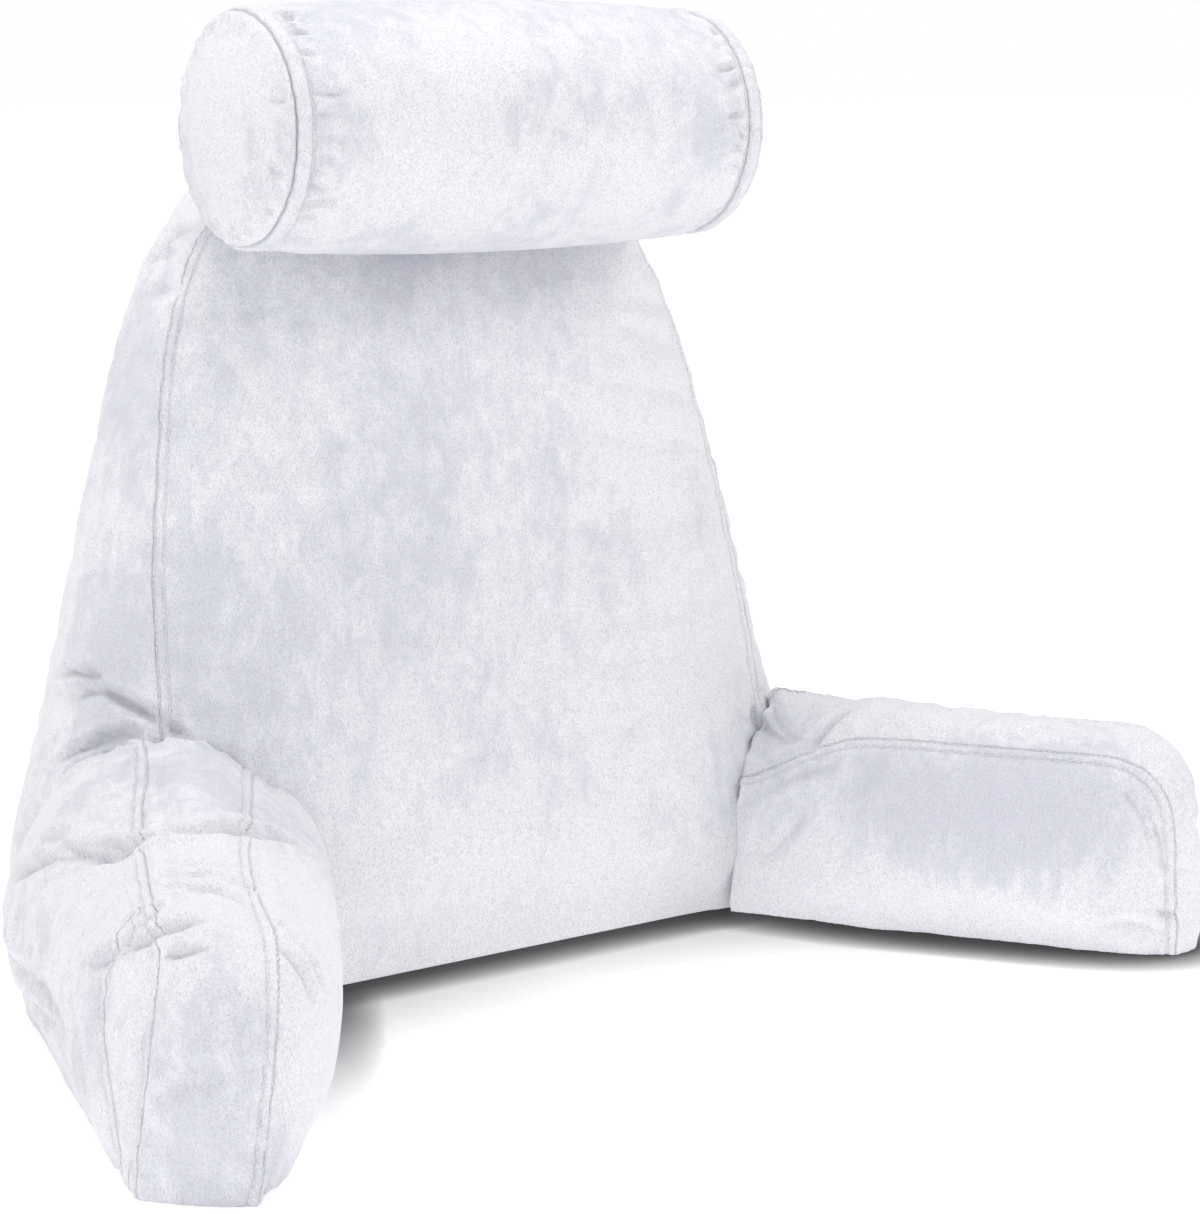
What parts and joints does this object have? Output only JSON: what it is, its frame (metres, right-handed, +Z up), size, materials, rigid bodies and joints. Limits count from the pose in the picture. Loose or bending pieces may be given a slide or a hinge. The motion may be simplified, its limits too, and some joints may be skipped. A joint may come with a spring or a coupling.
{
  "type": "reading pillow with arms",
  "caption": "Reading pillow in white plush: a tall stuffed back cushion, two splayed armrests and a round neck roll.",
  "frame": {"origin": "on the surface it stands on, under the middle of the pillow's overall width and depth", "axes": "+X along the width, towards the viewer's right as seen from the front; -Y is the front, where the arms point and the sitter leans; +Z is up"},
  "size_m": [0.8919, 0.57, 0.6865],
  "materials": {
    "plush": "matte",
    "plush_band": "matte"
  },
  "bodies": {
    "root": {"back_cushion": "plush", "arm_left": "plush", "arm_right": "plush", "neck_roll": "plush", "roll_band_left": "plush_band", "roll_band_right": "plush_band"}
  },
  "joints": []
}
